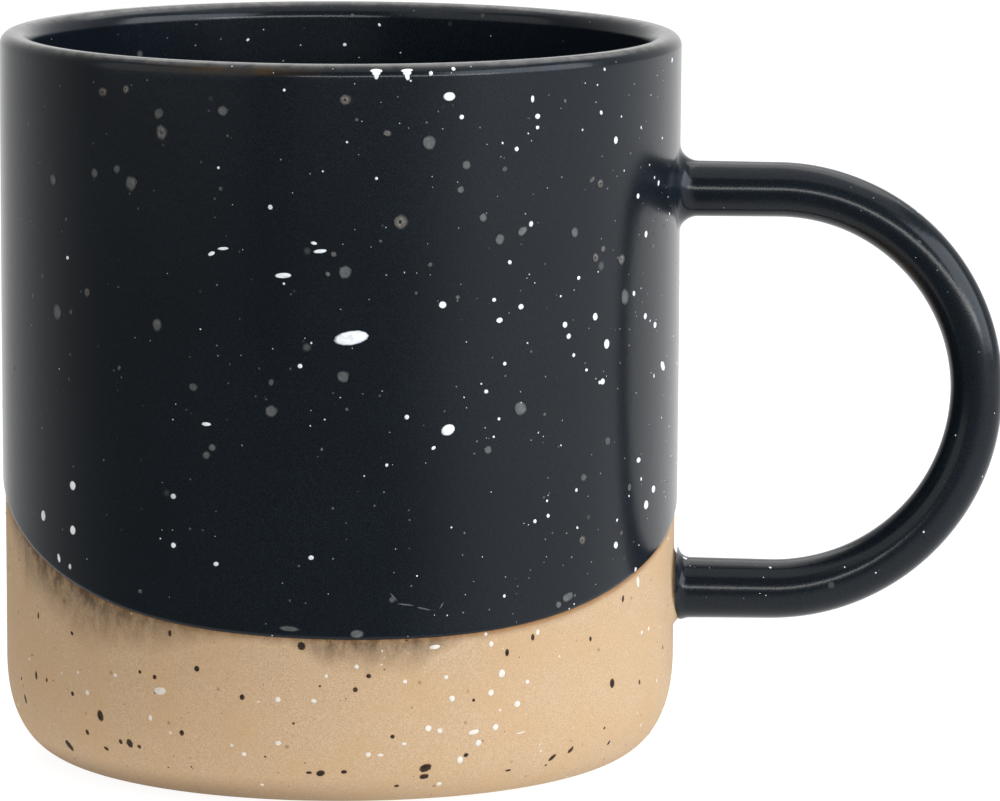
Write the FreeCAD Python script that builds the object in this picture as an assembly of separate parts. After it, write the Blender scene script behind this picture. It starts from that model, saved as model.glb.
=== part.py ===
import FreeCAD, Part
import os
from FreeCAD import Vector

# A stoneware mug: a turned clay body, a round pulled handle stuck on with slip, and fired coats of glaze.
# Millimetres. The origin is the centre of the foot, +Z is up, and the handle points to +X.

# Overall sizes of the glazed mug
height = 94.0
rim_radius = 44.0

# Wall, lip and foot of the clay body. The rounds of the lip are shares of its thickness with the glaze.
clay_wall = 3.4
wall_draft = 0.2
corner_height = 13.0
corner_width = 8.8
corner_fullness = 0.64
foot_ring_width = 5.5
recess_depth = 1.6
recess_slope = 1.0
floor_thickness = 4.2
floor_round = 9.0
lip_outer_share = 0.38
lip_inner_share = 0.5

# Glaze coats, and the tilted line down to which the outside is dipped
glaze = 0.3
liner_settling = 0.15
dip_height = 34.5
dip_tilt = 16.0
dip_turn = 8.4

# Clay rod of the handle, and where its ends meet the wall
upper_joint_below_rim = 19.8
lower_joint_height = 21.9
handle_straight = 12.8
handle_lift = 0.35
upper_rod_radius = 3.3
middle_rod_radius = 3.05
lower_rod_radius = 3.7

# Slip that bonds the handle to the wall: a bed under the rod's end, and a fillet round it
slip_bed = 0.4
slip_edge = 0.35
slip_fillet = 1.6

# Sizes that follow from the ones above
inner_radius = rim_radius - 2 * glaze - clay_wall
base_radius = rim_radius - wall_draft
lip_outer_round = lip_outer_share * (rim_radius - inner_radius)
lip_inner_round = lip_inner_share * (rim_radius - inner_radius)
lip_start = height - lip_outer_round
liner_top = height - lip_inner_round
floor_top = recess_depth + floor_thickness + glaze
upper_joint_height = height - upper_joint_below_rim
middle_height = (upper_joint_height + lower_joint_height) / 2 + handle_lift
upper_bend = upper_joint_height - middle_height
lower_bend = middle_height - lower_joint_height

UP = Vector(0, 0, 1)
OUT = Vector(1, 0, 0)


def at(radius, z):
    """A point of a profile that is turned about the mug's axis."""
    return Vector(radius, 0, z)


def line(start, end):
    return Part.LineSegment(start, end).toShape()


def quarter_round(start, centre, end):
    """A quarter circle from start to end about centre."""
    middle = centre + ((start - centre) + (end - centre)).normalize() * (start - centre).Length
    return Part.Arc(start, middle, end).toShape()


def turned(edges, origin=Vector(0, 0, 0), axis=UP):
    """The solid that a closed profile sweeps in one turn about an axis."""
    outline = Part.Wire(Part.__sortEdges__(edges))
    return Part.Face(outline).revolve(origin, axis, 360)


def foot_corner(offset):
    """The full curve from the foot up into the wall, moved outwards by offset."""
    foot = at(base_radius - glaze - corner_width, 0)
    wall = at(base_radius + offset, corner_height)
    lean = (at(rim_radius, lip_start) - at(base_radius, corner_height)).normalize()
    along_foot = foot + OUT * (corner_fullness * (wall.x - foot.x))
    along_wall = wall - lean * (corner_fullness * corner_height)
    curve = Part.BezierCurve()
    curve.setPoles([foot, along_foot, along_wall, wall])
    return curve.toShape(), foot, wall


def wall_radius(z):
    """The glazed wall's outer radius at a height above the foot corner."""
    share = (z - corner_height) / (lip_start - corner_height)
    return base_radius + wall_draft * share


def wall_core(offset):
    """The mug's outer form as if solid, with its wall moved outwards by offset."""
    curve, foot, wall = foot_corner(offset)
    shoulder = at(rim_radius + offset, lip_start)
    top = at(rim_radius + offset, height)
    return turned([
        line(at(0, 0), foot),
        curve,
        line(wall, shoulder),
        line(shoulder, top),
        line(top, at(0, height)),
        line(at(0, height), at(0, 0)),
    ])


def lip_edges(depth):
    """The lip's profile from outside to inside, at a depth below the glaze's surface."""
    outer_centre = at(rim_radius - lip_outer_round, lip_start)
    inner_centre = at(inner_radius + lip_inner_round, liner_top)
    outer_round = lip_outer_round - depth
    inner_round = lip_inner_round - depth
    shoulder = outer_centre + OUT * outer_round
    crest_out = outer_centre + UP * outer_round
    crest_in = inner_centre + UP * inner_round
    throat = inner_centre - OUT * inner_round
    edges = [
        quarter_round(shoulder, outer_centre, crest_out),
        line(crest_out, crest_in),
        quarter_round(crest_in, inner_centre, throat),
    ]
    return edges, shoulder, throat


def bowl_edges(depth, settling):
    """The inside from the lip to the axis, at a depth below the glaze and further out at the bottom."""
    centre = at(inner_radius - floor_round + settling, floor_top + floor_round)
    side = centre + OUT * (floor_round + depth)
    bottom = centre - UP * (floor_round + depth)
    throat = at(inner_radius + depth, liner_top)
    axis = at(0, floor_top - depth)
    return [line(throat, side), quarter_round(side, centre, bottom), line(bottom, axis)], throat, axis


def clay_body():
    """Turned clay pot: foot ring round a shallow recess, full corner, straight wall, rounded lip."""
    corner, foot, wall = foot_corner(-glaze)
    lip, shoulder, _ = lip_edges(glaze)
    bowl, _, floor = bowl_edges(glaze, liner_settling)
    ring_inside = foot - OUT * foot_ring_width
    recess_edge = ring_inside + UP * recess_depth - OUT * recess_slope
    recess_centre = at(0, recess_depth)
    return turned([
        line(recess_centre, recess_edge),
        line(recess_edge, ring_inside),
        line(ring_inside, foot),
        corner,
        line(wall, shoulder),
        *lip,
        *bowl,
        line(floor, recess_centre),
    ])


def handle_path():
    """The rod's centre line: straight out, round two quarter bends, and straight back in."""
    bend_start = wall_radius(upper_joint_height) + handle_straight
    reach = bend_start + upper_bend
    bend_end = reach - lower_bend
    points = [
        at(inner_radius, upper_joint_height),
        at(bend_start, upper_joint_height),
        at(reach, middle_height),
        at(bend_end, lower_joint_height),
        at(inner_radius, lower_joint_height),
    ]
    edges = [
        line(points[0], points[1]),
        quarter_round(points[1], at(bend_start, middle_height), points[2]),
        quarter_round(points[2], at(bend_end, middle_height), points[3]),
        line(points[3], points[4]),
    ]
    directions = [OUT, OUT, -UP, -OUT, -OUT]
    radii = [upper_rod_radius, upper_rod_radius, middle_rod_radius, lower_rod_radius, lower_rod_radius]
    return edges, points, directions, radii


def rod(extra):
    """The handle's rod, thickened by extra, with its ends run on into the wall."""
    edges, points, directions, radii = handle_path()
    stretches = []
    for i, edge in enumerate(edges):
        rings = [
            Part.Wire(Part.makeCircle(radii[j] + extra, points[j], directions[j]))
            for j in (i, i + 1)
        ]
        stretches.append(Part.Wire(edge).makePipeShell(rings, True, True))
    return stretches[0].fuse(stretches[1:]).removeSplitter()


def joint_form(joint_height, rod_radius, extra):
    """The filleted mound of slip round one end of the rod, thickened by extra, as if solid."""
    seat = wall_radius(joint_height) - glaze
    ring = rod_radius + slip_edge + slip_fillet
    middle = Vector(seat + slip_edge + slip_fillet, 0, joint_height + ring)
    foot = middle - OUT * (slip_fillet - extra)
    neck = middle - UP * (slip_fillet - extra)
    buried_axis = at(inner_radius + glaze, joint_height)
    buried_rim = buried_axis + UP * (ring + extra)
    foot_rim = foot + UP * extra
    end_rim = neck + OUT * extra
    end_axis = Vector(end_rim.x, 0, joint_height)
    edges = [
        line(buried_axis, buried_rim),
        line(buried_rim, foot_rim),
        quarter_round(foot, middle, neck),
        line(Vector(end_rim), end_axis),
        line(end_axis, buried_axis),
    ]
    if extra:
        edges.insert(2, line(foot_rim, foot))
        edges.insert(4, line(neck, end_rim))
    return turned(edges, buried_axis, OUT)


def upper_form(extra):
    return joint_form(upper_joint_height, upper_rod_radius, extra)


def lower_form(extra):
    return joint_form(lower_joint_height, lower_rod_radius, extra)


def handle():
    """Pulled clay rod, its ends hollowed to sit on the slip beds against the wall."""
    return rod(0).cut(wall_core(slip_bed - glaze))


def slip_joint(form, rod_solid):
    """Bed and fillet of slip between the wall and one end of the handle."""
    return form.cut([wall_core(-glaze), rod_solid])


def below_dip_line():
    """Everything under the tilted line that the glaze was dipped to."""
    size = 4 * (rim_radius + height)
    block = Part.makeBox(size, size, size, Vector(-size / 2, -size / 2, -size))
    block.rotate(Vector(0, 0, 0), OUT, dip_tilt)
    block.rotate(Vector(0, 0, 0), UP, dip_turn)
    block.translate(UP * dip_height)
    return block


def outer_glaze():
    """Coat over the outside and the lip, down to the dip line and open round the handle joints."""
    surface, shoulder, throat = lip_edges(0)
    clay, clay_shoulder, clay_throat = lip_edges(glaze)
    hem = at(base_radius, corner_height)
    clay_hem = hem - OUT * glaze
    coat = turned([
        line(hem, shoulder),
        *surface,
        line(throat, clay_throat),
        *clay,
        line(clay_shoulder, clay_hem),
        line(clay_hem, hem),
    ])
    return coat.cut([below_dip_line(), upper_form(0), lower_form(0)])


def inner_glaze():
    """Coat poured over the whole inside up to the lip, a little thicker low down where it settled."""
    surface, throat, floor = bowl_edges(0, 0)
    clay, clay_throat, clay_floor = bowl_edges(glaze, liner_settling)
    return turned([
        *surface,
        line(floor, clay_floor),
        *clay,
        line(clay_throat, throat),
    ])


def handle_glaze(rod_solid, upper_joint, lower_joint):
    """Coat over the handle and its fillets, ending on the wall."""
    coated = rod(glaze).fuse([upper_form(glaze), lower_form(glaze)])
    return coated.cut([rod_solid, upper_joint, lower_joint, wall_core(0)])


rod_solid = handle()
upper_joint = slip_joint(upper_form(0), rod_solid)
lower_joint = slip_joint(lower_form(0), rod_solid)

parts = {
    "clay_body": clay_body(),
    "handle": rod_solid,
    "upper_slip_joint": upper_joint,
    "lower_slip_joint": lower_joint,
    "outer_glaze": outer_glaze(),
    "inner_glaze": inner_glaze(),
    "handle_glaze": handle_glaze(rod_solid, upper_joint, lower_joint),
}

os.makedirs("parts", exist_ok=True)
for name, shape in parts.items():
    shape.exportStep(f"parts/{name}.step")
    box = shape.optimalBoundingBox()
    print(f"{name}: solids {len(shape.Solids)}, faces {len(shape.Faces)}, "
          f"volume {shape.Volume:.1f} mm3, valid {shape.isValid()}, "
          f"x {box.XMin:.2f}..{box.XMax:.2f}, z {box.ZMin:.2f}..{box.ZMax:.2f}")
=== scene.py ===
from math import cos, pi, radians, sin

import bmesh
import bpy
from mathutils import Matrix, Vector


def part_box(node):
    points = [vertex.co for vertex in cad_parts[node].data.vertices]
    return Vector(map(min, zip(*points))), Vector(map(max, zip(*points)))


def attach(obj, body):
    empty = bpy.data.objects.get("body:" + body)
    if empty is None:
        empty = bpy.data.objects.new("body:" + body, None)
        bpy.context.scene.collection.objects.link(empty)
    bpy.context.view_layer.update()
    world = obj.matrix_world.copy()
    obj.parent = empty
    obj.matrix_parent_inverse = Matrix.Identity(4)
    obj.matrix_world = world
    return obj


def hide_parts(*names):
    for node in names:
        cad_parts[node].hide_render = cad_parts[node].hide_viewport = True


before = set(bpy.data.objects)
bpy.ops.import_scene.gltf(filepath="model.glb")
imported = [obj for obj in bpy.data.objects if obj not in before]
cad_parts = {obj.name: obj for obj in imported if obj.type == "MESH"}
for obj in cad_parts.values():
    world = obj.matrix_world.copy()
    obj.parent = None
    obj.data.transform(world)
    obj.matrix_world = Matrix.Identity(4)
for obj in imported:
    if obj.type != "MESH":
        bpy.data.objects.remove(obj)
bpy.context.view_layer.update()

# ---------------------------------------------------------------------------------------------------
# Clay pot. One piece of buff stoneware clay, turned to a straight-sided cylinder with a full, rounded
# corner down to its foot ring, and left bare below the glaze. The rest of the mug is stuck on to it.
# ---------------------------------------------------------------------------------------------------

MM = 0.001
pot_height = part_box("outer_glaze")[1].z
rim_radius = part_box("outer_glaze")[1].x
coat = pot_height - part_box("clay_body")[1].z
base_radius = rim_radius - 0.2 * MM
foot_radius = base_radius - coat - 8.8 * MM
corner_height = 13 * MM
corner_fullness = 0.64
corner_rows = 36
ring_width = 5.5 * MM
recess_depth = 1.6 * MM
foot_edge = 0.5 * MM
recess_lean = 1.0 * MM
recess_lift = 0.35 * MM
inside_radius = rim_radius - 4 * MM
inside_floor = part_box("inner_glaze")[0].z + coat
floor_round = 9 * MM
lip_outer_round = 1.52 * MM
lip_inner_round = 2.0 * MM
clay_sag = 0.1 * MM

# The glaze stops at a wavy line that leans back: low in front, high behind.
hem_height = 34.8 * MM
hem_lean = 13.0 * MM
hem_skew = -2.25 * MM
hem_wave = 0.4 * MM
hem_ripple = 0.5 * MM


class Wire:
    """An output of a node. Sums and products of wires add their Math nodes."""

    def __init__(self, tree, socket=None):
        self.tree = tree
        self.socket = socket

    def node(self, kind, settings=None, values=None, out=None):
        """Adds a node: its settings first, then the numbers or wires of its inputs."""
        made = self.tree.nodes.new(kind)
        for name, setting in (settings or {}).items():
            setattr(made, name, setting)
        for name, value in (values or {}).items():
            socket = self.pick(made.inputs, name)
            if isinstance(value, Wire):
                self.tree.links.new(value.socket, socket)
            elif isinstance(value, list):
                for wire in value:
                    self.tree.links.new(wire.socket, socket)
            else:
                socket.default_value = value
        return Wire(self.tree, self.pick(made.outputs, out))

    @staticmethod
    def pick(sockets, name):
        """The socket at a number, or the first shown one of that name, or of any name."""
        if isinstance(name, int):
            return sockets[name]
        return next(socket for socket in sockets if socket.enabled and name in (None, socket.name))

    def math(self, operation, *others, before=()):
        """A Math node on this value and others, with any values of before put ahead of it."""
        values = dict(enumerate((*before, self, *others)))
        return self.node("ShaderNodeMath", {"operation": operation}, values)

    def __add__(self, other):
        return self.math("ADD", other)

    def __sub__(self, other):
        return self.math("SUBTRACT", other)

    def __rsub__(self, other):
        return self.math("SUBTRACT", before=(other,))

    def __mul__(self, other):
        return self.math("MULTIPLY", other)

    def __truediv__(self, other):
        return self.math("DIVIDE", other)

    def __rtruediv__(self, other):
        return self.math("DIVIDE", before=(other,))

    def __pow__(self, other):
        return self.math("POWER", other)

    __radd__ = __add__
    __rmul__ = __mul__

    def least(self, other):
        return self.math("MINIMUM", other)

    def most(self, other):
        return self.math("MAXIMUM", other)

    def held(self):
        """The value kept between 0 and 1."""
        return self.least(1.0).most(0.0)

    def rise(self, low, high):
        """0 below low, 1 above high, and a smooth step between. It falls where low is over high."""
        settings = {"interpolation_type": "SMOOTHSTEP"}
        up = not (isinstance(low, float) and isinstance(high, float) and low > high)
        ends = {"From Min": low, "From Max": high} if up else {"From Min": high, "From Max": low}
        level = self.node("ShaderNodeMapRange", settings, {"Value": self, **ends})
        return level if up else 1 - level

    def axes(self):
        return [self.node("ShaderNodeSeparateXYZ", None, {0: self}, axis) for axis in "XYZ"]

    def vector(self, operation, other, socket=1):
        return self.node("ShaderNodeVectorMath", {"operation": operation}, {0: self, socket: other}, 0)

    def stretched(self, x, y, z):
        return self.vector("MULTIPLY", (x, y, z))

    def scaled(self, factor):
        return self.vector("SCALE", factor, 3)

    def noise(self, per_metre, detail=2.0, roughness=0.5, out="Fac"):
        values = {"Vector": self, "Scale": per_metre, "Detail": detail, "Roughness": roughness}
        return self.node("ShaderNodeTexNoise", None, values, out)

    def cells(self, per_metre, out="Distance"):
        return self.node("ShaderNodeTexVoronoi", None, {"Vector": self, "Scale": per_metre}, out)

    def mixed(self, first, second):
        """The first colour where this wire is 0, and the second where it is 1."""
        colours = {0: self, 6: first, 7: second}
        return self.node("ShaderNodeMix", {"data_type": "RGBA"}, colours, "Result")


def colour(red, green, blue):
    """A colour as the eye names it, out of 255, turned into light."""
    return tuple((part / 255) ** 2.2 for part in (red, green, blue)) + (1.0,)


def new_material(name, roughness):
    """A fired surface, its shader and the place of each point on it."""
    material = bpy.data.materials.new(name)
    material.use_nodes = True
    tree = material.node_tree
    shader = tree.nodes["Principled BSDF"]
    shader.inputs["Roughness"].default_value = roughness
    place = Wire(tree).node("ShaderNodeTexCoord", out="Object")
    return material, shader, place


def plug(shader, socket, wire):
    """Feeds a wire to one of the shader's sockets."""
    wire.tree.links.new(wire.socket, shader.inputs[socket])


def relief(shader, height, depth, strength=1.0):
    """Feeds a height from 0 to 1 to the shader as fine relief of that depth."""
    bump = height.node("ShaderNodeBump", None, {"Strength": strength, "Distance": depth, "Height": height})
    plug(shader, "Normal", bump)


def hem_at(sine, cosine):
    """Height of the glaze's lower edge, from the sine and cosine of the turn away from the front.
    It leans back, and waves three and four times in a turn."""
    third = 3 * sine - 4 * sine * sine * sine
    fourth = 1 - 8 * sine * sine * cosine * cosine
    return hem_height - hem_lean * cosine + hem_skew * sine + hem_wave * third + hem_ripple * fourth


def new_tree(name, inputs):
    """A geometry tree with named inputs, and its input wires by name."""
    tree = bpy.data.node_groups.new(name, "GeometryNodeTree")
    tree.interface.new_socket("Geometry", in_out="OUTPUT", socket_type="NodeSocketGeometry")
    for label, kind in inputs.items():
        tree.interface.new_socket(label, in_out="INPUT", socket_type="NodeSocket" + kind)
    entry = tree.nodes.new("NodeGroupInput")
    return tree, {label: Wire(tree, entry.outputs[label]) for label in inputs}


def end_tree(geometry, material):
    """Ends a tree: smooth, real geometry in its material."""
    smooth = geometry.node("GeometryNodeSetShadeSmooth", None, {"Geometry": geometry})
    real = smooth.node("GeometryNodeRealizeInstances", None, {"Geometry": smooth})
    done = real.node("GeometryNodeSetMaterial", None, {"Geometry": real, "Material": material})
    result = done.tree.nodes.new("NodeGroupOutput")
    done.tree.links.new(done.socket, result.inputs[0])


def turning_tree():
    """Turns a profile about the axis, slightly out of true, and drapes its hem along the glaze line."""
    tree, given = new_tree("turned", {
        "Geometry": "Geometry", "Segments": "Int", "Rows": "Int", "Unevenness": "Float",
        "Radius": "Float", "Drape": "Float", "Lip height": "Float", "Material": "Material",
    })
    segments, rows = given["Segments"], given["Rows"]
    sheet = {"Size X": segments, "Size Y": rows - 1, "Vertices X": segments + 1, "Vertices Y": rows}
    grid = segments.node("GeometryNodeMeshGrid", None, sheet)
    across, along, _ = grid.node("GeometryNodeInputPosition").axes()
    column = (across + segments / 2).math("ROUND")
    row = (along + (rows - 1) / 2).math("ROUND")
    place = grid.node("GeometryNodeInputPosition")
    sampled = {"Geometry": given["Geometry"], "Value": place, "Index": row}
    radius, _, height = grid.node("GeometryNodeSampleIndex", {"data_type": "FLOAT_VECTOR"}, sampled).axes()
    angle = column * (2 * pi) / segments
    sine, cosine = angle.math("SINE"), angle.math("COSINE")
    hang = ((given["Lip height"] - height) / (given["Lip height"] - hem_height)).held()
    height = height + (hem_at(sine, cosine) - hem_height) * hang * given["Drape"]
    around = {"X": sine * given["Radius"], "Y": cosine * given["Radius"], "Z": height}
    wander = grid.node("ShaderNodeCombineXYZ", None, around).noise(22.0, 1.0)
    radius = radius * (1 + (wander - 0.5) * 2 * given["Unevenness"] / given["Radius"])
    spot = {"X": sine * radius, "Y": cosine * radius * -1, "Z": height}
    turned = {"Geometry": grid, "Position": grid.node("ShaderNodeCombineXYZ", None, spot)}
    turned = grid.node("GeometryNodeSetPosition", None, turned)
    closed = {"Geometry": turned, "Distance": 1e-6}
    end_tree(turned.node("GeometryNodeMergeByDistance", None, closed), given["Material"])
    return tree


def made_by(tree, name, start, settings, sharp=50):
    """Runs a geometry tree on a start mesh, and returns the result as a plain piece, facing outwards."""
    holder = bpy.data.objects.new(name + "_start", start)
    bpy.context.scene.collection.objects.link(holder)
    modifier = holder.modifiers.new(tree.name, "NODES")
    modifier.node_group = tree
    for item in tree.interface.items_tree:
        if item.in_out == "INPUT" and item.name in settings:
            modifier[item.identifier] = settings[item.name]
    ready = holder.evaluated_get(bpy.context.evaluated_depsgraph_get())
    mesh = bpy.data.meshes.new_from_object(ready)
    holder.modifiers.remove(modifier)
    bpy.data.objects.remove(holder)
    mesh.name = name
    shell = bmesh.new()
    shell.from_mesh(mesh)
    bmesh.ops.recalc_face_normals(shell, faces=shell.faces)
    shell.to_mesh(mesh)
    shell.free()
    mesh.set_sharp_from_angle(angle=radians(sharp))
    piece = bpy.data.objects.new(name, mesh)
    bpy.context.scene.collection.objects.link(piece)
    return piece


def straight(start, end, step):
    """Points of a straight stretch of a profile, without its end."""
    count = max(1, round((Vector(end) - Vector(start)).length / step))
    return [Vector(start).lerp(Vector(end), i / count) for i in range(count)]


def bend(centre, radius, first, last, step):
    """Points of a round stretch about a centre, from one angle to another, with its end."""
    count = max(4, round(abs(radians(last - first)) * radius / step))
    turns = [radians(first + (last - first) * i / count) for i in range(count + 1)]
    return [Vector(centre) + Vector((cos(turn), sin(turn))) * radius for turn in turns]


def full_corner(start, end, rows):
    """Points of the corner from the flat foot up into the upright wall."""
    low = Vector((start[0] + corner_fullness * (end[0] - start[0]), start[1]))
    high = Vector((end[0], end[1] - corner_fullness * (end[1] - start[1])))
    points = []
    for i in range(rows):
        t = i / rows
        points.append(
            Vector(start) * (1 - t) ** 3 + low * 3 * t * (1 - t) ** 2
            + high * 3 * t * t * (1 - t) + Vector(end) * t ** 3
        )
    return points


def line_mesh(name, points):
    """A profile or a centre line as vertices joined in order."""
    mesh = bpy.data.meshes.new(name)
    mesh.from_pydata(points, [(i, i + 1) for i in range(len(points) - 1)], [])
    return mesh


def turned_piece(name, points, material, segments, unevenness, drape=0.0):
    """A piece turned from a profile of radii and heights. Drape 1 hangs its lower edge on the glaze line."""
    profile = line_mesh(name + "_profile", [(point[0], 0, point[1]) for point in points])
    settings = {
        "Segments": segments, "Rows": len(points), "Unevenness": unevenness, "Radius": rim_radius,
        "Drape": drape, "Lip height": pot_height - lip_inner_round, "Material": material,
    }
    return made_by(turning, name, profile, settings)


def lip_points(depth, step):
    """The lip from its outside to its inside, at a depth below the glaze's surface."""
    outer = (rim_radius - lip_outer_round, pot_height - lip_outer_round)
    inner = (inside_radius + lip_inner_round, pot_height - lip_inner_round)
    crest = bend(outer, lip_outer_round - depth, 0, 90, step)
    throat = bend(inner, lip_inner_round - depth, 90, 180, step)
    return crest + straight(crest[-1], throat[0], 4 * step)[1:] + throat


def bowl_points(depth, step):
    """The inside from under the lip to the axis, at a depth below the glaze's surface."""
    centre = (inside_radius - floor_round, inside_floor + floor_round)
    top = (inside_radius + depth, pot_height - lip_inner_round)
    corner = bend(centre, floor_round + depth, 0, -90, step)
    return straight(top, corner[0], step)[1:] + corner + straight(corner[-1], (0, corner[-1][1]), step)[1:]


def bare_clay(name):
    """Buff stoneware, fine and dry, sooted by kiln flash under the glaze line, with painted shade low on the
    left by the foot.
    """
    material, shader, place = new_material(name, 0.82)
    shader.inputs["Specular IOR Level"].default_value = 0.3
    x, y, z = place.axes()
    across = (x * x + y * y) ** 0.5
    below = hem_at(x / across, y / across * -1) - z
    mottle = place.noise(120.0, 3.0)
    grain = place.noise(6500.0, 3.0, 0.7)
    body = grain.rise(0.3, 0.7).mixed(colour(162, 135, 104), colour(194, 167, 135))
    body = (mottle.rise(0.35, 0.75) * 0.5).mixed(body, colour(180, 147, 108))
    freckles = place.cells(420.0)
    freckled = freckles.rise(0.15, 0.05) * place.noise(300.0, 0.0).rise(0.5, 0.6)
    body = (freckled * 0.6).mixed(body, colour(112, 82, 56))
    wisps = place.stretched(1.0, 1.0, 0.6).noise(700.0, 4.0, 0.7)
    left_smear = x.rise(-44 * MM, -37 * MM) * x.rise(-8 * MM, -30 * MM)
    front_smear = x.rise(-3 * MM, 3 * MM) * x.rise(20 * MM, 13 * MM)
    reach = 1.2 * MM + (left_smear * 6.5 * MM + front_smear * 3.4 * MM) * (0.4 + mottle * 1.2)
    soot = (1 - below / reach).held() ** 1.3 * (0.45 + wisps.rise(0.3, 0.65) * 0.55)
    body = (soot * (0.55 + (left_smear + front_smear) * 0.45)).held().mixed(body, colour(58, 44, 30))
    amber = below.rise(0.8 * MM, 0.1 * MM) * (0.25 + x.rise(5 * MM, 30 * MM) * 0.4)
    body = amber.mixed(body, colour(140, 92, 44))
    # Painted shade: the clay is darkened in the bottom few millimetres of the corner on the left, where the
    # foot curves under.
    painted_foot_shade = z.rise(4.5 * MM, 0.5 * MM) * x.rise(25 * MM, -15 * MM) * 0.6
    body = painted_foot_shade.mixed(body, colour(92, 70, 46))
    tooling = place.stretched(0.05, 0.05, 1.0).noise(900.0, 2.0)
    plug(shader, "Base Color", body)
    plug(shader, "Roughness", 0.74 + grain * 0.16)
    relief(shader, grain * 0.5 + mottle * 0.2 + tooling * 0.3, 0.08 * MM)
    return material


turning = turning_tree()
clay = bare_clay("bare_clay")
ring_inner = foot_radius - ring_width
recess_edge = ring_inner - recess_lean
ring_out = foot_radius - foot_edge
clay_wall_top = (rim_radius - coat, pot_height - lip_outer_round)
corner_top = (base_radius - coat, corner_height)
bare_top = (base_radius - coat + 0.2 * MM, 52 * MM)

pot = turned_piece(
    "clay_pot",
    straight((0, recess_depth), (recess_edge, recess_depth), 2.5 * MM)
    + straight((recess_edge, recess_depth), (ring_inner, recess_lift), 0.3 * MM)
    + straight((ring_inner, recess_lift), (ring_inner + foot_edge, 0), 0.2 * MM)
    + straight((ring_inner + foot_edge, 0), (ring_out, 0), 1.0 * MM)
    + full_corner((ring_out, 0), corner_top, corner_rows)
    + straight(corner_top, bare_top, 0.6 * MM)
    + straight(bare_top, clay_wall_top, 2.5 * MM)
    + lip_points(coat, 0.3 * MM)
    + bowl_points(coat, 2.5 * MM)
    + [Vector((0, inside_floor - coat))],
    clay, 360, clay_sag,
)
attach(pot, "root")
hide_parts("clay_body")

# ---------------------------------------------------------------------------------------------------
# Clay specks. Iron in the clay bleeds to dark flecks, more of them to the left, and stray spots of
# white glaze sit on it. They are thin lenses, flush with the clay.
# ---------------------------------------------------------------------------------------------------


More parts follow.
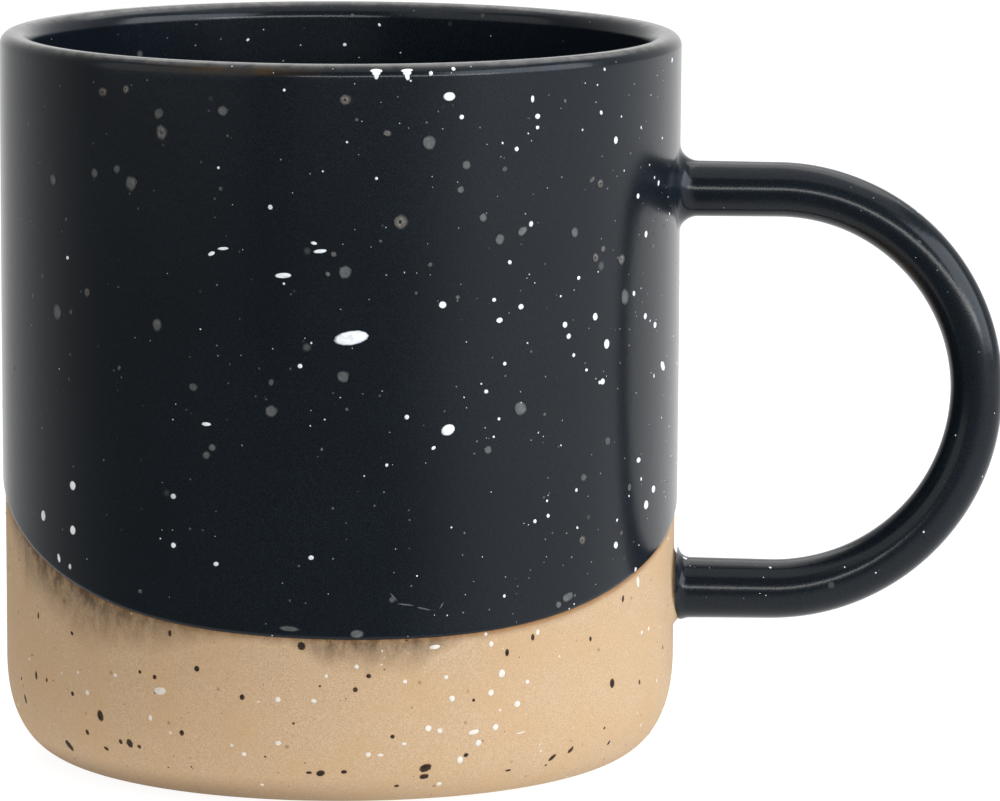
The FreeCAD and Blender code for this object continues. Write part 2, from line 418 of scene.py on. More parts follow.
def strewing_tree():
    """Lays small thin lenses on a surface: the ones given as points, and more at random."""
    tree, given = new_tree("strewn_marks", {
        "Geometry": "Geometry", "Surface": "Object", "Outside": "Float", "Lowest": "Float",
        "Highest": "Float", "Density": "Float", "To the right": "Float", "Seed": "Int",
        "Smallest": "Float", "Largest": "Float", "Thickness": "Float", "Raggedness": "Float",
        "Facets": "Int", "Material": "Material",
    })
    lump = given["Surface"]
    surface = lump.node("GeometryNodeObjectInfo", None, {"Object": lump}, "Geometry")
    place = lump.node("GeometryNodeInputPosition")
    normal = lump.node("GeometryNodeInputNormal")
    x, y, z = place.axes()
    nx, ny, nz = normal.axes()
    across = ((x * x + y * y) ** 0.5).most(1e-5)
    outward = (nx * x + ny * y) / across * given["Outside"] + nz.most(0.0)
    shown = (outward - 0.3 * given["Outside"] * given["Outside"]).rise(-0.01, 0.0)
    shown = shown * z.rise(given["Lowest"], given["Lowest"] + 1e-5)
    shown = shown * (1 - z.rise(given["Highest"], given["Highest"] + 1e-5))
    crowding = (1 + x / across * given["To the right"]).most(0.05)
    spread_out = {"Mesh": surface, "Density": shown * crowding * given["Density"], "Seed": given["Seed"]}
    strewn = lump.node("GeometryNodeDistributePointsOnFaces", None, spread_out, "Points")

    def chance(step):
        draw = {"Seed": given["Seed"] + step}
        return lump.node("FunctionNodeRandomValue", {"data_type": "FLOAT"}, draw, "Value")

    def kept(points, name, value, kind="FLOAT"):
        settings = {"data_type": kind, "domain": "POINT"}
        values = {"Geometry": points, "Name": name, "Value": value}
        return lump.node("GeometryNodeStoreNamedAttribute", settings, values)

    def recalled(name, kind="FLOAT"):
        return lump.node("GeometryNodeInputNamedAttribute", {"data_type": kind}, {"Name": name})

    size = given["Smallest"] + (given["Largest"] - given["Smallest"]) * chance(1) ** 5
    spread = {"X": size * (0.85 + chance(2) * 0.4), "Y": size * (0.8 + chance(3) * 0.35), "Z": size}
    strewn = kept(strewn, "spread", lump.node("ShaderNodeCombineXYZ", None, spread), "FLOAT_VECTOR")
    strewn = kept(kept(strewn, "tilt", chance(4) * pi), "tone", chance(5))
    by_hand = lump.node("GeometryNodeMeshToPoints", None, {"Mesh": given["Geometry"]})
    points = lump.node("GeometryNodeJoinGeometry", None, {"Geometry": [strewn, by_hand]})
    vectors = {"data_type": "FLOAT_VECTOR"}
    out = {"Mesh": surface, "Value": normal}
    upright = lump.node("GeometryNodeSampleNearestSurface", vectors, out, "Value")
    turn = {"axis": "Z", "pivot_axis": "AUTO"}
    turn = lump.node("FunctionNodeAlignRotationToVector", turn, {"Vector": upright})
    upward = {"Rotation": turn, "Vector": (0, 0, 1)}
    turn = lump.node("FunctionNodeAlignRotationToVector", {"axis": "Y", "pivot_axis": "Z"}, upward)
    lean = lump.node("FunctionNodeAxisAngleToRotation", None, {"Axis": (0, 0, 1), "Angle": recalled("tilt")})
    lean = {"Rotation": turn, "Rotate By": lean}
    turn = lump.node("FunctionNodeRotateRotation", {"rotation_space": "LOCAL"}, lean)
    ball = {"Segments": given["Facets"], "Rings": 6, "Radius": 1.0}
    lens = lump.node("GeometryNodeMeshUVSphere", None, ball)
    lens = kept(kept(lens, "dome", z), "reach", (x * x + y * y) ** 0.5)
    half = recalled("spread", "FLOAT_VECTOR").axes()
    scale = lump.node("ShaderNodeCombineXYZ", None, {"X": half[0], "Y": half[1], "Z": half[0] * 0.1})
    laid = {"Points": points, "Instance": lens, "Rotation": turn, "Scale": scale}
    marks = lump.node("GeometryNodeInstanceOnPoints", None, laid)
    marks = lump.node("GeometryNodeRealizeInstances", None, {"Geometry": marks})
    ragged = place.noise(1400.0, 2.0, 0.6, "Color").vector("SUBTRACT", (0.5, 0.5, 0.5))
    there = place.vector("ADD", ragged.scaled(half[2] * given["Raggedness"] * 2))
    base = {"Mesh": surface, "Value": place, "Sample Position": there}
    base = lump.node("GeometryNodeSampleNearestSurface", vectors, base, "Value")
    out = {"Mesh": surface, "Value": normal, "Sample Position": there}
    out = lump.node("GeometryNodeSampleNearestSurface", vectors, out, "Value")
    lift = recalled("dome") * (half[2] * given["Thickness"]).least(0.12 * MM) + 0.004 * MM
    laid = {"Geometry": marks, "Position": base.vector("ADD", out.scaled(lift))}
    end_tree(lump.node("GeometryNodeSetPosition", None, laid), given["Material"])
    return tree


def set_marks(name, rows, radius):
    """Points for marks given one by one: degrees round from the front, height, width, length, lean, tone."""
    spots, spreads, tilts, tones = [], [], [], []
    for turn, height, width, length, lean, tone in rows:
        out = radius(height * MM)
        spots.append((out * sin(radians(turn)), -out * cos(radians(turn)), height * MM))
        spreads += [width * MM / 2, length * MM / 2, min(width, length) * MM / 2]
        tilts.append(radians(lean))
        tones.append(tone)
    mesh = bpy.data.meshes.new(name)
    mesh.from_pydata(spots, [], [])
    mesh.attributes.new("spread", "FLOAT_VECTOR", "POINT").data.foreach_set("vector", spreads)
    mesh.attributes.new("tilt", "FLOAT", "POINT").data.foreach_set("value", tilts)
    mesh.attributes.new("tone", "FLOAT", "POINT").data.foreach_set("value", tones)
    return mesh


def strewn_piece(name, rows, radius, surface, material, outside, heights, density, rightward, seed, sizes,
                 thickness=0.1, raggedness=0.12, facets=8):
    """A set of marks on a surface as one piece. Heights and sizes are in millimetres."""
    return made_by(strewing, name, set_marks(name + "_points", rows, radius), {
        "Surface": surface, "Outside": outside, "Lowest": heights[0] * MM, "Highest": heights[1] * MM,
        "Density": density, "To the right": rightward, "Seed": seed, "Smallest": sizes[0] * MM / 2,
        "Largest": sizes[1] * MM / 2, "Thickness": thickness, "Raggedness": raggedness, "Facets": facets,
        "Material": material,
    }, sharp=180)


def clay_radius(height):
    """The pot's outside at a height on its corner or its wall."""
    if height >= corner_height:
        return base_radius - coat
    corner = full_corner((ring_out, 0), corner_top, corner_rows)
    return min(corner, key=lambda point: abs(point[1] - height))[0]


def mark_wires(place, name):
    """A value that each mark carries: reach, from its middle to its edge, or tone."""
    return place.node("ShaderNodeAttribute", {"attribute_name": name}, None, "Fac")


def fleck_iron(name):
    """Iron bled out of the clay: black-brown, matt, paler and browner at the edge."""
    material, shader, place = new_material(name, 0.6)
    shader.inputs["Specular IOR Level"].default_value = 0.2
    reach, tone = mark_wires(place, "reach"), mark_wires(place, "tone")
    crust = place.noise(2400.0, 2.0)
    body = crust.rise(0.3, 0.7).mixed(colour(26, 19, 17), colour(54, 42, 35))
    body = (reach.rise(0.65, 1.0) * 0.8).mixed(body, colour(110, 80, 54))
    plug(shader, "Base Color", (tone * 0.35).mixed(body, colour(112, 80, 52)))
    plug(shader, "Roughness", 0.5 + crust * 0.3)
    relief(shader, crust * (1 - reach), 0.05 * MM)
    return material


def white_splash(name, thin, thick, edge):
    """Stray white glaze: smooth, a little shiny, and thinner at its edge."""
    material, shader, place = new_material(name, 0.4)
    shader.inputs["Specular IOR Level"].default_value = 0.3
    reach, tone = mark_wires(place, "reach"), mark_wires(place, "tone")
    cloud = place.noise(1600.0, 2.0)
    body = cloud.rise(0.2, 0.6).mixed(thin, thick)
    body = ((1 - tone) * 0.45).mixed(body, edge)
    plug(shader, "Base Color", (reach.rise(0.78, 1.0) * 0.75).mixed(body, edge))
    plug(shader, "Roughness", 0.34 + cloud * 0.16)
    relief(shader, cloud, 0.02 * MM)
    return material


strewing = strewing_tree()
iron = fleck_iron("iron_in_clay")
white_on_clay = white_splash(
    "white_on_clay", colour(192, 184, 172), colour(212, 205, 194), colour(184, 172, 154)
)

iron_flecks = strewn_piece(
    "iron_flecks",
    [
        (-39, 10.1, 1.2, 1.6, 10, 0.0), (-50, 4.8, 1.3, 1.9, 38, 0.0), (-33, 7.1, 1.1, 1.3, 10, 0.0),
        (-35, 7.1, 0.6, 0.8, 0, 0.2), (-31, 6.8, 0.6, 0.6, 0, 0.3), (-39, 5.7, 0.9, 0.6, -20, 0.2),
        (-58, 13.1, 0.7, 1.2, 8, 0.0), (-54, 13.0, 0.5, 0.6, 0, 0.1), (-46, 12.2, 0.7, 0.6, -30, 0.0),
        (2, 4.9, 1.2, 1.0, 20, 0.0), (0, 5.0, 0.8, 0.5, 0, 0.3), (6, 5.2, 0.8, 0.6, 0, 0.0),
        (20, 5.4, 1.7, 1.3, 20, 0.0), (20, 4.2, 1.3, 0.9, 5, 0.1), (45, 5.0, 1.4, 0.7, 40, 0.0),
        (49, 5.6, 1.0, 0.7, 35, 0.3), (58, 13.4, 1.1, 1.3, 10, 0.0), (-1, 21.4, 1.1, 1.1, 0, 0.0),
        (-11, 14.6, 0.7, 0.8, 0, 0.1), (-27, 16.2, 0.6, 0.6, 0, 0.0), (-30, 16.6, 0.5, 0.5, 0, 0.0),
        (-19, 17.8, 0.8, 0.8, 0, 0.0), (-46, 20.0, 0.7, 0.5, -25, 0.0), (-24, 22.0, 0.5, 0.9, 0, 0.3),
        (-22, 9.4, 0.7, 0.8, 0, 0.1), (-43, 7.5, 0.7, 0.8, 20, 0.0), (-64, 9.2, 0.8, 1.3, 20, 0.0),
        (14, 9.8, 0.6, 0.6, 40, 0.0), (10, 17.6, 0.7, 0.6, 0, 0.0), (34, 19.6, 0.6, 1.0, 0, 0.0),
        (39, 21.2, 0.6, 0.9, 5, 0.1), (27, 6.8, 0.7, 0.6, 20, 0.0), (61, 24.0, 0.6, 1.0, -10, 0.1),
        (52, 19.8, 0.5, 0.7, 20, 0.0), (36, 4.0, 0.9, 0.4, 0, 0.2), (-57, 21.0, 0.5, 1.0, 0, 0.2),
    ],
    clay_radius, pot, iron, 1.0, (0.6, 36), 21000, -0.35, 3, (0.14, 0.75), raggedness=0.25,
)
clay_splashes = strewn_piece(
    "white_spots_on_clay",
    [
        (-26, 14.5, 1.9, 1.1, 3, 0.4), (-28, 10.9, 0.6, 0.8, 0, 0.7), (-5, 14.5, 0.8, 0.8, 0, 0.9),
        (-5, 8.9, 0.8, 0.7, 0, 0.9), (-11, 7.2, 0.7, 0.6, 0, 0.8), (1, 14.4, 0.8, 0.6, -20, 0.9),
        (33, 17.0, 1.0, 1.1, 0, 1.0), (31, 14.7, 0.9, 0.9, 30, 1.0), (24, 14.3, 0.8, 0.9, 0, 1.0),
        (36, 12.9, 1.0, 0.9, 0, 0.9), (32, 10.2, 0.9, 0.9, 0, 1.0), (28, 9.8, 1.6, 0.7, 12, 0.9),
        (29, 8.3, 0.9, 1.0, 0, 1.0), (20, 10.7, 0.9, 0.9, 0, 1.0), (22, 10.3, 0.8, 0.7, 0, 1.0),
        (23, 17.1, 0.6, 0.6, 0, 1.0), (16, 16.8, 0.6, 0.6, 0, 0.9), (21, 21.0, 1.5, 0.6, 5, 1.0),
        (22, 22.7, 0.8, 0.8, 0, 1.0), (40, 21.8, 0.6, 0.8, 0, 1.0), (26, 6.2, 0.8, 1.2, 10, 1.0),
        (10, 7.5, 0.7, 0.7, 0, 0.9), (12, 7.4, 0.9, 0.4, 0, 0.8), (16, 8.8, 0.7, 0.4, 0, 0.9),
        (23, 2.9, 0.8, 0.8, 0, 0.9), (37, 9.1, 1.4, 0.2, 8, 0.8), (66, 25.6, 0.9, 1.6, 10, 0.8),
        (-42, 12.8, 0.8, 0.7, 0, 0.6), (31, 20.9, 0.7, 0.8, 0, 1.0), (3, 17.6, 0.5, 0.5, 0, 0.8),
        (8, 18.8, 0.6, 0.6, 0, 0.9), (38, 15.6, 0.6, 0.6, 0, 1.0), (30, 22.2, 0.5, 0.5, 0, 0.9),
    ],
    clay_radius, pot, white_on_clay, 1.0, (0.6, 36), 24000, 0.5, 11, (0.12, 0.62), thickness=0.12,
)
for marks in (iron_flecks, clay_splashes):
    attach(marks, "root")
    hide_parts("clay_body")

# ---------------------------------------------------------------------------------------------------
# Outer glaze. A satin blue-black coat, dipped over the lip and down the wall, with a rounded lower
# edge. It fired to fine grain, soft grey blooms, and rust where it ran thin under the lip.
# ---------------------------------------------------------------------------------------------------

glaze_bead = 0.06 * MM
under_side = coat * 0.9


def dark_glaze(name, deep, pale, bloom_amount, rusty, gloss):
    """Satin blue-black glaze: fine pale grain, cloudy grey blooms and tiny open pits."""
    material, shader, place = new_material(name, 0.36)
    shader.inputs["Specular IOR Level"].default_value = gloss
    x, y, z = place.axes()
    grain = place.noise(6500.0, 2.0, 0.7)
    cloud = place.noise(60.0, 2.0)
    body = grain.rise(0.35, 0.75).mixed(deep, pale)
    body = (cloud.rise(0.35, 0.7) * 0.35).mixed(body, deep)
    blooms = place.cells(170.0) + place.noise(900.0, 1.0) * 0.04 - 0.02
    tint = place.cells(170.0, "Color").axes()
    size = 0.02 + tint[0] * tint[0] * 0.1
    bloom = (1 - blooms / size).held().rise(0.0, 0.6) * (0.15 + tint[1] * 0.6)
    body = (bloom * bloom_amount).mixed(body, colour(104, 104, 102))
    stars = place.cells(620.0)
    shine = place.cells(620.0, "Color").axes()[0]
    body = (stars.rise(0.09, 0.03) * shine.rise(0.55, 0.95)).mixed(body, colour(128, 136, 144))
    if rusty:
        outside = (x * x + y * y).rise((rim_radius - 1.6 * MM) ** 2, (rim_radius - 0.9 * MM) ** 2)
        thin = z.rise(pot_height - 1.7 * MM, pot_height - 0.9 * MM)
        thin = thin * z.rise(pot_height - 0.25 * MM, pot_height - 0.6 * MM)
        front = x.rise(-25 * MM, -7 * MM) * x.rise(3 * MM, -2 * MM) * y.rise(0.0, -0.02)
        rust = thin * outside * front * (0.3 + place.noise(300.0, 2.0).rise(0.35, 0.65) * 0.6)
        body = rust.mixed(body, colour(56, 40, 12))
        crest = z.rise(pot_height - 0.7 * MM, pot_height) * (0.1 + place.noise(500.0).rise(0.4, 0.6) * 0.3)
        body = crest.mixed(body, colour(112, 108, 102))
    plug(shader, "Base Color", body)
    plug(shader, "Roughness", 0.18 + grain * 0.03 + bloom * 0.2)
    peel = place.noise(700.0, 2.0)
    pits = place.cells(230.0).rise(0.015, 0.06)
    relief(shader, peel * 0.25 + pits * 0.75, 0.045 * MM)
    return material


navy_deep = colour(17, 21, 25)
navy = dark_glaze("navy_glaze", navy_deep, colour(28, 36, 43), 0.8, True, 0.24)
hem_out = base_radius + 0.12 * MM
hem_in = hem_out - coat
hem_roll = 0.55 * MM
wall_top = (rim_radius, pot_height - lip_outer_round)
hem_edge = []
for turn in (pi / 16 * step for step in range(8)):
    out = hem_in - glaze_bead + (coat + glaze_bead) * sin(turn)
    hem_edge.append(Vector((out, hem_height + hem_roll * (1 - cos(turn)))))
outer = turned_piece(
    "outer_glaze_coat",
    hem_edge
    + straight((hem_out, hem_height + hem_roll), wall_top, 0.6 * MM)
    + lip_points(0, 0.12 * MM)
    + [Vector((inside_radius + coat, pot_height - lip_inner_round))]
    + lip_points(under_side, 0.4 * MM)[::-1]
    + straight((rim_radius - under_side, wall_top[1]), hem_edge[0], 3 * MM)[1:]
    + hem_edge[:1],
    navy, 420, clay_sag, drape=1.0,
)
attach(outer, "root")
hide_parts("outer_glaze")

# ---------------------------------------------------------------------------------------------------
# Liner. The same glaze, poured in and out, coats the whole inside up to the lip and is nearly black
# where little light reaches it.
# ---------------------------------------------------------------------------------------------------

liner_glaze = dark_glaze("liner_glaze", colour(16, 20, 24), colour(28, 34, 40), 0.8, False, 0.24)
liner_top = pot_height - lip_inner_round
liner = turned_piece(
    "liner_coat",
    [Vector((inside_radius, liner_top))]
    + bowl_points(0, 1.0 * MM)
    + [Vector((0, inside_floor)), Vector((0, inside_floor - under_side))]
    + bowl_points(under_side, 4 * MM)[::-1]
    + [Vector((inside_radius + under_side, liner_top)), Vector((inside_radius, liner_top))],
    liner_glaze, 420, clay_sag,
)
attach(liner, "root")
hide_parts("inner_glaze")

# ---------------------------------------------------------------------------------------------------
# Handle. A round rod of the same clay, pulled, bent to a D and stuck on with slip. The rod is out of
# sight under the glaze. A fillet of slip runs round each end, and a bare ring of the lower one shows.
# ---------------------------------------------------------------------------------------------------

upper_joint = (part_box("upper_slip_joint")[0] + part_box("upper_slip_joint")[1]) / 2
lower_joint = (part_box("lower_slip_joint")[0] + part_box("lower_slip_joint")[1]) / 2
middle_height = (upper_joint.z + lower_joint.z) / 2 + 0.35 * MM
upper_bend = upper_joint.z - middle_height
lower_bend = middle_height - lower_joint.z
handle_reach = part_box("handle")[1].x - 3.05 * MM
upper_rod, middle_rod, lower_rod = 3.6 * MM, 3.35 * MM, 4.0 * MM
upper_fillet, lower_fillet = 2.4 * MM, 1.9 * MM
upper_wall = rim_radius - 0.07 * MM
lower_wall = base_radius + 0.02 * MM


def rod_tree():
    """Sweeps a round rod along its centre line, and flares its ends on to the surface they join."""
    tree, given = new_tree("pulled_rod", {
        "Geometry": "Geometry", "Rings": "Int", "Sides": "Int", "First radius": "Float",
        "Middle radius": "Float", "Last radius": "Float", "First fillet": "Float", "Last fillet": "Float",
        "Last gap": "Float", "Unevenness": "Float", "Surface": "Object", "Material": "Material",
    })
    start = given["Geometry"]
    curve = start.node("GeometryNodeMeshToCurve", None, {"Mesh": start})
    curve = curve.node("GeometryNodeResampleCurve", None, {"Curve": curve, "Count": given["Rings"]})
    factor = curve.node("GeometryNodeSplineParameter", out="Factor")
    length = curve.node("GeometryNodeSplineParameter", out="Length")
    total = curve.node("GeometryNodeSplineLength", out="Length")
    first = (1 - length / (given["First fillet"] * (pi / 2))).held() * (pi / 2)
    last = (1 - (total - length + given["Last gap"]) / (given["Last fillet"] * (pi / 2))).held() * (pi / 2)
    flare = first.most(last)
    late = factor.math("ROUND")
    fillet = given["First fillet"] * (1 - late) + given["Last fillet"] * late
    rod = given["Middle radius"] + (given["First radius"] - given["Middle radius"]) * (1 - factor * 2).held()
    rod = rod + (given["Last radius"] - given["Middle radius"]) * (factor * 2 - 1).held()
    place = curve.node("GeometryNodeInputPosition")
    wander = (place.noise(55.0, 1.0) - 0.5) * 2 * given["Unevenness"]
    radius = rod + wander + fillet * (1 - flare.math("COSINE"))
    shift = curve.node("ShaderNodeCombineXYZ", None, {"X": fillet * (flare - flare.math("SINE"))})
    kept = {"Geometry": curve, "Name": "flare", "Value": flare / (pi / 2)}
    curve = curve.node("GeometryNodeStoreNamedAttribute", {"data_type": "FLOAT"}, kept)
    kept = {"Geometry": curve, "Name": "girth", "Value": radius}
    curve = curve.node("GeometryNodeStoreNamedAttribute", {"data_type": "FLOAT"}, kept)
    curve = curve.node("GeometryNodeSetPosition", None, {"Geometry": curve, "Offset": shift})
    girth = curve.node("GeometryNodeInputNamedAttribute", {"data_type": "FLOAT"}, {"Name": "girth"})
    circle = {"Resolution": given["Sides"], "Radius": 1.0}
    circle = curve.node("GeometryNodeCurvePrimitiveCircle", None, circle)
    swept = {"Curve": curve, "Profile Curve": circle, "Scale": girth, "Fill Caps": True}
    mesh = curve.node("GeometryNodeCurveToMesh", None, swept)
    target = mesh.node("GeometryNodeObjectInfo", None, {"Object": given["Surface"]}, "Geometry")
    meet = mesh.node("GeometryNodeInputNamedAttribute", {"data_type": "FLOAT"}, {"Name": "flare"}) ** 5
    there = {"Mesh": target, "Value": mesh.node("GeometryNodeInputPosition")}
    near = mesh.node("GeometryNodeSampleNearestSurface", {"data_type": "FLOAT_VECTOR"}, there, "Value")
    here = mesh.node("GeometryNodeInputPosition")
    on_wall = {0: meet, 4: here, 5: near}
    settled = mesh.node("ShaderNodeMix", {"data_type": "VECTOR"}, on_wall, "Result")
    mesh = mesh.node("GeometryNodeSetPosition", None, {"Geometry": mesh, "Position": settled})
    end_tree(mesh, given["Material"])
    return tree


def wall_end(wall, fillet):
    """How far out the centre line starts, so that the flare lands on the wall."""
    return wall + fillet * (1 - pi / 2)


def rod_line(name, points):
    """A rod's centre line, in the plane that cuts the mug through its handle."""
    return line_mesh(name, [(point[0], 0, point[1]) for point in points])


pulling = rod_tree()
slip_length = 5.5 * MM
for end, joint, wall, rod, fillet in (
    ("upper", upper_joint, upper_wall, upper_rod - coat, upper_fillet),
    ("lower", lower_joint, lower_wall, lower_rod - coat, lower_fillet),
):
    slip_line = straight((wall_end(wall - coat, fillet), joint.z), (wall + slip_length, joint.z), MM)
    slip = made_by(pulling, end + "_slip_fillet", rod_line(end + "_slip_line", slip_line), {
        "Rings": 60, "Sides": 48, "First radius": rod, "Middle radius": rod, "Last radius": rod,
        "First fillet": fillet, "Last fillet": 1e-6, "Last gap": 1.0, "Unevenness": 0.1 * MM,
        "Surface": pot, "Material": clay,
    })
    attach(slip, "root")
    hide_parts(end + "_slip_joint")
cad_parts["handle"].data.materials.clear()
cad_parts["handle"].data.materials.append(clay)

# ---------------------------------------------------------------------------------------------------
# Handle glaze. The same blue-black coat all round the rod. At the top it runs into the wall's coat,
# and at the bottom it stops just short of the clay wall.
# ---------------------------------------------------------------------------------------------------

bend_start = handle_reach - upper_bend
bend_end = handle_reach - lower_bend
lower_gap = 1.1 * MM
lower_end = (wall_end(lower_wall, lower_fillet) + lower_gap, lower_joint.z)
handle_line = (
    straight((wall_end(upper_wall, upper_fillet), upper_joint.z), (bend_start, upper_joint.z), MM)
    + bend((bend_start, middle_height), upper_bend, 90, 0, MM)
    + bend((bend_end, middle_height), lower_bend, 0, -90, MM)[1:]
    + straight((bend_end, lower_joint.z), lower_end, MM)[1:]
    + [Vector(lower_end)]
)
grip = made_by(pulling, "handle_glaze_coat", rod_line("handle_line", handle_line), {
    "Rings": 460, "Sides": 56, "First radius": upper_rod, "Middle radius": middle_rod,
    "Last radius": lower_rod, "First fillet": upper_fillet, "Last fillet": lower_fillet,
    "Last gap": lower_gap, "Unevenness": 0.08 * MM, "Surface": outer, "Material": navy,
})
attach(grip, "root")
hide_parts("handle_glaze")

# ---------------------------------------------------------------------------------------------------
# Splashes and blooms. White glaze was flicked over the blue-black coat, in a few long drops and many
# tiny ones. Gas from the clay left soft grey blooms in it, some with an open pinhole, painted near
# black as shade, with a painted highlight on part of the ring round it.
# ---------------------------------------------------------------------------------------------------


def wall_radius(height):
    """The outside of the wall's coat at a height."""
    return base_radius + (rim_radius - base_radius) * min(1, height / pot_height)


def grey_bloom(name):
    """A cloud of grey in the coat that thins to nothing at its edge, with its pinhole in the middle.
    The pinhole is painted near black as shade, and part of the ring round it has a painted highlight.
    """
    material, shader, place = new_material(name, 0.42)
    shader.inputs["Specular IOR Level"].default_value = 0.3
    reach, tone = mark_wires(place, "reach"), mark_wires(place, "tone")
    cloud = place.noise(1900.0, 3.0, 0.7)
    ragged = reach + (cloud - 0.5) * 0.5
    open_hole = tone.rise(0.68, 0.72)
    haze = ragged.rise(0.95, 0.6) * (0.42 + tone * 0.4) * (0.6 + cloud.rise(0.35, 0.65) * 0.4)
    # Painted highlight: a pale patch on part of the ring round the pinhole, where it would catch light.
    painted_rim_highlight = reach.rise(0.2, 0.3) * reach.rise(0.5, 0.36) * open_hole * cloud.rise(0.45, 0.6)
    warm = open_hole.mixed(colour(112, 114, 113), colour(104, 99, 92))
    body = (haze * reach.rise(1.0, 0.8)).held().mixed(navy_deep, warm)
    body = (painted_rim_highlight * 0.6).mixed(body, colour(168, 164, 156))
    # Painted shade: the pinhole is painted near black to stand for its depth.
    painted_pinhole_shade = reach.rise(0.28, 0.18) * open_hole
    plug(shader, "Base Color", painted_pinhole_shade.mixed(body, colour(6, 6, 7)))
    plug(shader, "Roughness", 0.3 + haze * 0.3)
    relief(shader, painted_rim_highlight * 0.6 + (1 - painted_pinhole_shade) * 0.4, 0.18 * MM)
    return material


bloom_finish = grey_bloom("grey_bloom")
white_on_glaze = white_splash(
    "white_on_glaze", colour(204, 207, 210), colour(232, 233, 234), colour(148, 154, 162)
)
blooms = strewn_piece(
    "grey_blooms",
    [
        (-31, 78.4, 1.9, 1.9, 0, 0.5), (-25, 85.0, 1.7, 2.1, 10, 0.7), (-32, 90.1, 1.1, 1.1, 0, 0.9),
        (-37, 89.5, 1.5, 1.2, 0, 0.8), (-14, 88.1, 1.4, 1.4, 0, 0.4), (-39, 79.2, 1.2, 1.3, 0, 0.4),
        (-34, 80.0, 1.1, 1.1, 0, 0.3), (-50, 77.6, 1.4, 1.5, 0, 0.5), (-49, 60.9, 1.9, 2.1, 0, 0.5),
        (-26, 60.9, 1.4, 1.7, 0, 0.5), (15, 74.6, 1.9, 2.0, 0, 1.0), (6, 89.8, 1.5, 1.5, 0, 0.9),
        (6, 68.4, 1.7, 1.8, 0, 0.5), (26, 81.4, 1.2, 1.2, 0, 0.5), (25, 78.4, 1.0, 1.0, 0, 0.5),
        (29, 74.8, 1.2, 1.2, 0, 0.5), (32, 71.9, 1.4, 1.5, 0, 0.5), (47, 72.0, 1.3, 1.4, 0, 0.5),
        (52, 68.5, 1.2, 1.3, 0, 0.9), (53, 77.8, 1.2, 1.3, 0, 1.0), (-6, 50.9, 1.7, 1.7, 0, 0.5),
        (36, 50.5, 2.0, 1.9, 0, 0.6), (30, 45.6, 1.2, 1.1, 0, 0.5), (60, 62.9, 1.8, 2.2, 0, 0.5),
        (-17, 45.0, 1.2, 1.1, 0, 0.3), (-16, 46.0, 1.1, 1.0, 0, 0.5), (8, 23.0, 1.8, 1.2, 0, 0.6),
        (-3, 23.6, 2.8, 0.7, -5, 0.4), (46, 25.8, 2.2, 1.2, 15, 0.6), (44, 25.0, 1.0, 1.0, 0, 0.6),
        (14, 27.6, 1.6, 0.2, -50, 0.6), (16, 26.6, 2.4, 0.2, -8, 0.6), (19, 26.0, 2.2, 0.2, -14, 0.6),
        (22, 26.3, 1.0, 0.2, 60, 0.6), (51, 78.4, 1.2, 0.6, 30, 1.0),
    ],
    wall_radius, outer, bloom_finish, 1.0, (22, 93), 11000, 0.0, 21, (0.3, 1.8), 0.02, 0.3, 20,
)
drops = strewn_piece(
    "white_drops",
    [
        (7, 60.2, 4.4, 1.8, 8, 1.0), (23, 48.4, 1.9, 1.4, 20, 1.0), (23, 90.0, 1.6, 1.1, 0, 1.0),
        (-4, 67.9, 2.1, 0.7, 3, 1.0), (2, 71.0, 1.7, 0.5, 6, 0.9), (-14, 71.0, 1.5, 0.4, 5, 0.9),
        (-16, 70.3, 1.0, 0.5, 25, 0.9), (1, 72.0, 0.8, 0.4, -10, 0.9), (22, 64.1, 1.0, 0.9, 0, 1.0),
        (55, 57.3, 1.1, 1.3, 0, 1.0), (75, 52.6, 2.0, 1.1, -30, 1.0), (-45, 39.1, 1.2, 1.2, 0, 1.0),
        (-54, 34.3, 1.1, 1.4, 0, 1.0), (-45, 33.4, 1.1, 1.2, 0, 1.0), (-49, 29.4, 0.6, 1.2, 20, 0.9),
        (-17, 48.9, 1.3, 0.5, 0, 1.0), (39, 87.0, 0.8, 0.7, 0, 1.0), (58, 31.3, 0.9, 0.9, 0, 1.0),
        (68, 35.4, 1.3, 1.2, 0, 1.0), (71, 37.1, 1.2, 1.0, 0, 1.0), (-23, 33.3, 0.7, 0.7, 0, 0.9),
        (31, 64.4, 0.6, 0.5, 0, 0.9), (11, 93.5, 1.6, 0.7, 0, 1.0), (11, 93.1, 1.1, 0.8, 0, 1.0),
        (11, 92.7, 0.6, 0.9, 0, 1.0), (16, 93.5, 1.6, 0.6, 5, 1.0), (16, 93.1, 1.1, 0.8, 5, 1.0),
        (16, 92.6, 0.6, 1.0, 15, 1.0), (65, 41.5, 1.1, 0.7, 0, 0.9),
        (57, 83.0, 0.8, 1.0, 0, 0.9), (-46, 68.0, 0.6, 0.5, 0, 0.8), (38, 89.2, 0.5, 0.9, 0, 0.9),
        (39, 85.6, 0.5, 0.5, 0, 1.0), (35, 83.1, 0.6, 0.6, 0, 1.0), (32, 61.8, 0.9, 0.7, 0, 1.0),
        (36, 63.3, 0.8, 0.7, 0, 1.0), (45, 60.5, 0.8, 0.8, 0, 1.0), (52, 61.0, 0.9, 1.0, 0, 1.0),
        (48, 66.2, 0.6, 0.5, 10, 1.0), (64, 75.4, 0.7, 0.7, 0, 1.0), (67, 70.3, 0.8, 0.9, 0, 1.0),
        (67, 59.8, 0.9, 0.8, 0, 1.0), (71, 58.3, 1.0, 0.8, 0, 1.0), (33, 56.3, 0.5, 0.5, 0, 1.0),
        (54, 52.6, 0.9, 0.8, 0, 1.0), (47, 56.5, 0.5, 0.5, 0, 1.0), (50, 54.4, 0.5, 0.4, 0, 1.0),
        (32, 49.4, 0.4, 0.4, 0, 1.0),
    ],
    wall_radius, outer, white_on_glaze, 1.0, (20, 94), 26000, 1.25, 33, (0.11, 0.7), 0.14, 0.08, 12,
)
for marks in (blooms, drops):
    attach(marks, "root")
    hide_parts("outer_glaze")

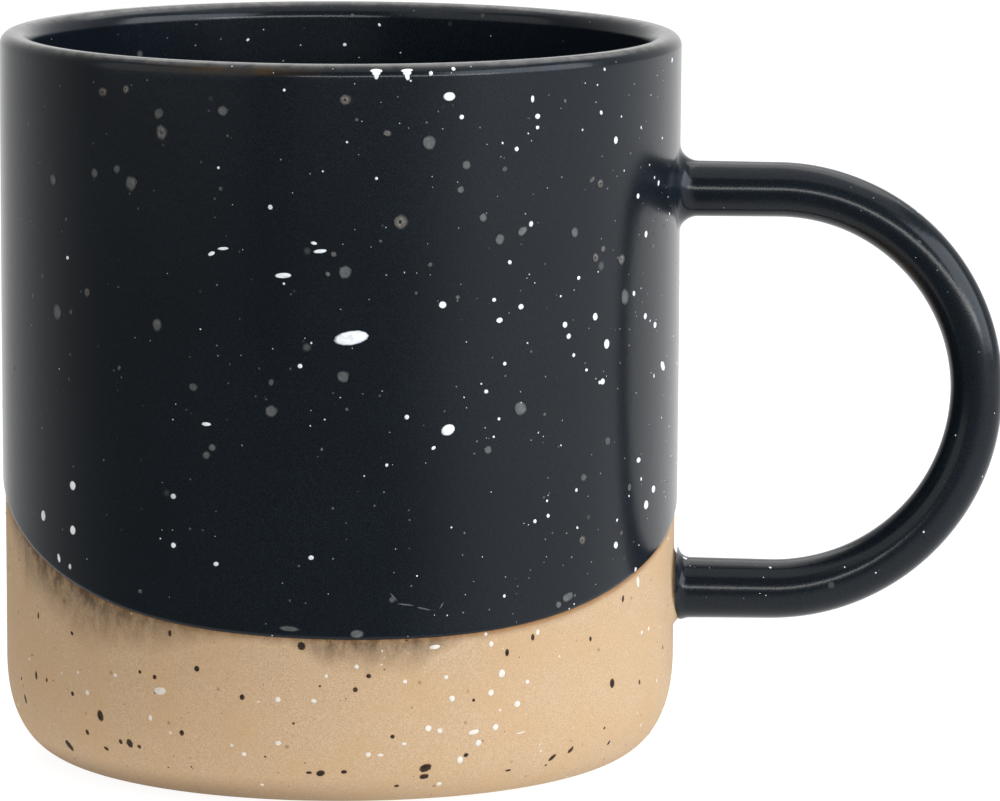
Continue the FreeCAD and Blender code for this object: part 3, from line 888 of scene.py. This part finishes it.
handle_drops = strewn_piece(
    "white_drops_on_handle", [], wall_radius, grip, white_on_glaze, 0.0, (15, 81), 14000, 0.0, 5,
    (0.13, 0.75), 0.14, 0.14, 9,
)
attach(handle_drops, "root")
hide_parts("handle_glaze")

liner_drops = strewn_piece(
    "spots_in_liner", [], wall_radius, liner, white_on_glaze, -1.0, (5, 93), 16000, 0.0, 8,
    (0.15, 0.9), 0.12, 0.14, 9,
)
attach(liner_drops, "root")
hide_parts("inner_glaze")

# ---------------------------------------------------------------------------------------------------
# Table, soft studio light and camera. A pale table in a bright room, with large soft boxes to the
# right and overhead and one long thin one in front. These aren't part of the mug.
# ---------------------------------------------------------------------------------------------------

# The table fades out in front and on the left, where the glaze mirrors a dim room.
table_mesh = bpy.data.meshes.new("table")
table_corners = [(x, y, -0.2 * MM) for x, y in ((-3, -1), (3, -1), (3, 5), (-3, 5))]
table_mesh.from_pydata(table_corners, [], [(0, 1, 2, 3)])
table = bpy.data.objects.new("table", table_mesh)
bpy.context.scene.collection.objects.link(table)
table_top, table_shader, spot = new_material("pale_table", 0.9)
table_shader.inputs["Base Color"].default_value = (0.2, 0.2, 0.2, 1)
table_shader.inputs["Emission Color"].default_value = (1, 1, 1, 1)
table_shader.inputs["Emission Strength"].default_value = 0.9
table_shader.inputs["Specular IOR Level"].default_value = 0.0
table_x, table_y, _ = spot.axes()
away = (table_x * table_x + table_y * table_y) ** 0.5
to_the_right = (table_x / away).rise(0.3, 0.95)
behind = table_y.rise(-0.06, -0.02) * table_x.rise(-0.16, -0.06)
plug(table_shader, "Alpha", to_the_right.most(behind).most(away.rise(0.09, 0.06)))
table.data.materials.append(table_top)


def soft_box(name, spot, aim, width, height, watts, tint=(1, 1, 1)):
    """A large soft light at a spot, turned to face a point."""
    lamp = bpy.data.lights.new(name, "AREA")
    lamp.shape = "RECTANGLE"
    lamp.size, lamp.size_y = width, height
    lamp.energy = watts
    lamp.color = tint
    light = bpy.data.objects.new(name, lamp)
    bpy.context.scene.collection.objects.link(light)
    light.location = spot
    light.rotation_euler = (Vector(spot) - Vector(aim)).to_track_quat("Z", "Y").to_euler()
    return light


mug_middle = Vector((0.02, 0, 0.046))
soft_box("key", (1.15, -0.4, 0.52), mug_middle, 1.3, 0.85, 15.5, (0.92, 0.99, 1.1))
soft_box("strip", (0.5, -1.08, 0.25), mug_middle, 1.6, 0.11, 8)
soft_box("top", (0.05, -0.12, 1.15), (0.03, 0, 0), 1.7, 1.4, 8)
soft_box("back_top", (0.1, 0.75, 0.95), (0.0, 0.55, 0.0), 1.3, 0.8, 6)
soft_box("left_fill", (-0.9, -0.7, 0.5), mug_middle, 1.4, 1.1, 4.5)

# The room is dim in front of the mug and bright behind it, and is seen as plain white.
world = bpy.data.worlds.new("studio")
bpy.context.scene.world = world
world.use_nodes = True
room = world.node_tree.nodes["Background"]
room.inputs["Color"].default_value = (1, 1, 1, 1)
facing_away = Wire(world.node_tree).node("ShaderNodeTexCoord", out="Generated").axes()[1]
room_light = 0.2 + facing_away.rise(-0.4, 0.9) * 0.5 + facing_away.rise(0.8, 1.0) * 0.4
seen = room_light.node("ShaderNodeLightPath", out="Is Camera Ray")
room_light = seen + (1 - seen) * room_light
world.node_tree.links.new(room_light.socket, room.inputs["Strength"])

bpy.context.scene.view_settings.view_transform = "Standard"

# A long lens, a little to the right of the front and a little above the mug.
view_target = Vector((20.8, 0, 46.1)) * MM
view_turn, view_lift, view_roll = radians(4), radians(8.55), radians(0.27)
view_distance = 0.9
back = Vector((sin(view_turn) * cos(view_lift), -cos(view_turn) * cos(view_lift), sin(view_lift)))
lens = bpy.data.cameras.new("camera")
lens.sensor_width = 36
lens.lens = 249.3
lens.clip_end = 20
camera = bpy.data.objects.new("camera", lens)
bpy.context.scene.collection.objects.link(camera)
facing = back.to_track_quat("Z", "Y").to_matrix().to_4x4() @ Matrix.Rotation(view_roll, 4, "Z")
camera.matrix_world = Matrix.Translation(view_target + back * view_distance) @ facing
bpy.context.scene.camera = camera
